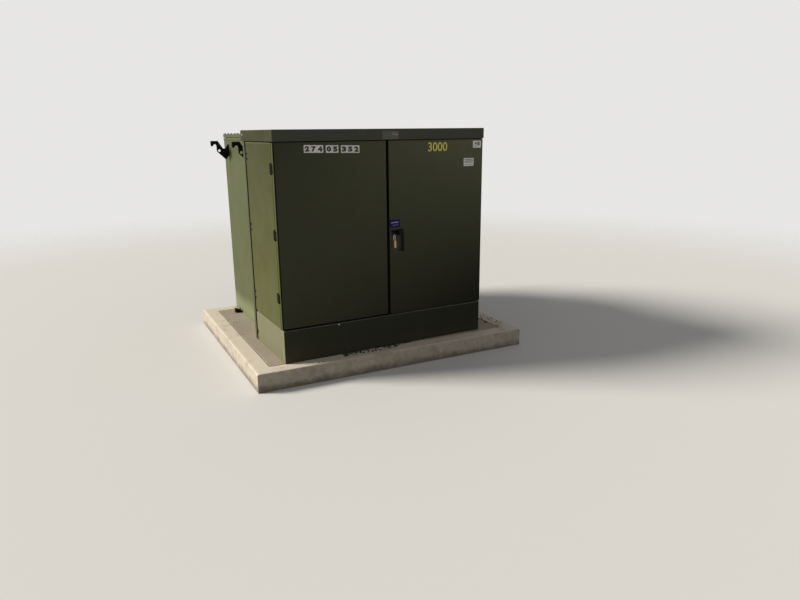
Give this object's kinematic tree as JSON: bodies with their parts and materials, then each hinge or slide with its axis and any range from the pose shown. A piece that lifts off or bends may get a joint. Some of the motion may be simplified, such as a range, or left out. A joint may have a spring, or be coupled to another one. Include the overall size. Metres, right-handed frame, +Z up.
{
  "type": "pad-mounted three-phase power transformer",
  "caption": "Pad-mounted power transformer: a green steel cabinet with two hinged doors, an oil tank with lifting hooks and rear radiators, on a concrete pad.",
  "frame": {"origin": "centre of the concrete pad's underside, on the ground", "axes": "+Z up, the doors face -Y, +X to the right seen from the front"},
  "size_m": [2.4762, 2.556, 1.921],
  "materials": {
    "green_paint": "dark olive green outdoor paint, slightly chalked",
    "black_paint": "black paint on forged and flame-cut steel",
    "concrete": "broomed concrete with a smooth tooled border",
    "bare_steel": "bright steel, dulled outdoors",
    "brass": "dull brass",
    "grey_epoxy": "grey moulded epoxy",
    "black_rubber": "black moulded rubber"
  },
  "bodies": {
    "root": {"pad": "concrete", "tank_body": "green_paint", "cover_gasket": "black_rubber", "tank_cover": "green_paint", "handhole_cover": "green_paint", "tank_front_plate": "green_paint", "side_left": "green_paint", "side_right": "green_paint", "sill_left": "green_paint", "sill_right": "green_paint", "sill_front": "green_paint", "hood": "green_paint", "barrier": "green_paint", "radiator_1": "green_paint", "radiator_2": "green_paint", "radiator_3": "green_paint", "lifting_hook_left_front": "black_paint", "cleat_left_front": "black_paint", "lifting_hook_left_rear": "black_paint", "cleat_left_rear": "black_paint", "hinge_left_1_jamb": "black_paint", "hinge_left_2_jamb": "black_paint", "hinge_left_3_jamb": "black_paint", "lifting_hook_right_front": "black_paint", "cleat_right_front": "black_paint", "lifting_hook_right_rear": "black_paint", "cleat_right_rear": "black_paint", "hinge_right_1_jamb": "black_paint", "hinge_right_2_jamb": "black_paint", "hinge_right_3_jamb": "black_paint", "hv_bushing_1": "black_rubber", "hv_bushing_2": "black_rubber", "hv_bushing_3": "black_rubber", "lv_bushing_1": "grey_epoxy", "lv_bushing_2": "grey_epoxy", "lv_bushing_3": "grey_epoxy", "lv_bushing_4": "grey_epoxy", "level_gauge": "grey_epoxy", "drain_valve": "brass", "tap_changer": "bare_steel"},
    "door_left": {"door_left": "green_paint", "door_left_stiffener": "green_paint", "hinge_left_1_door": "black_paint", "hinge_left_2_door": "black_paint", "hinge_left_3_door": "black_paint"},
    "door_right": {"door_right": "green_paint", "door_right_stiffener": "green_paint", "hinge_right_1_door": "black_paint", "hinge_right_2_door": "black_paint", "hinge_right_3_door": "black_paint", "handle_pocket": "green_paint", "lock_staple": "black_paint", "padlock_shackle": "bare_steel", "padlock_body": "brass"},
    "handle": {"handle": "black_paint", "latch_cam": "bare_steel"}
  },
  "joints": [
    {"name": "door_left_hinge", "type": "hinge", "parent": "root", "child": "door_left", "pos_m": [-0.9725, -0.826, 1.15], "axis": [0, 0, -1], "range_deg": [0, 120]},
    {"name": "door_right_hinge", "type": "hinge", "parent": "root", "child": "door_right", "pos_m": [0.8425, -0.826, 1.15], "axis": [0, 0, 1], "range_deg": [0, 120]},
    {"name": "handle_turn", "type": "hinge", "parent": "door_right", "child": "handle", "pos_m": [0.0485, -0.903, 1.098], "axis": [0, -1, 0], "range_deg": [0, 90]}
  ]
}
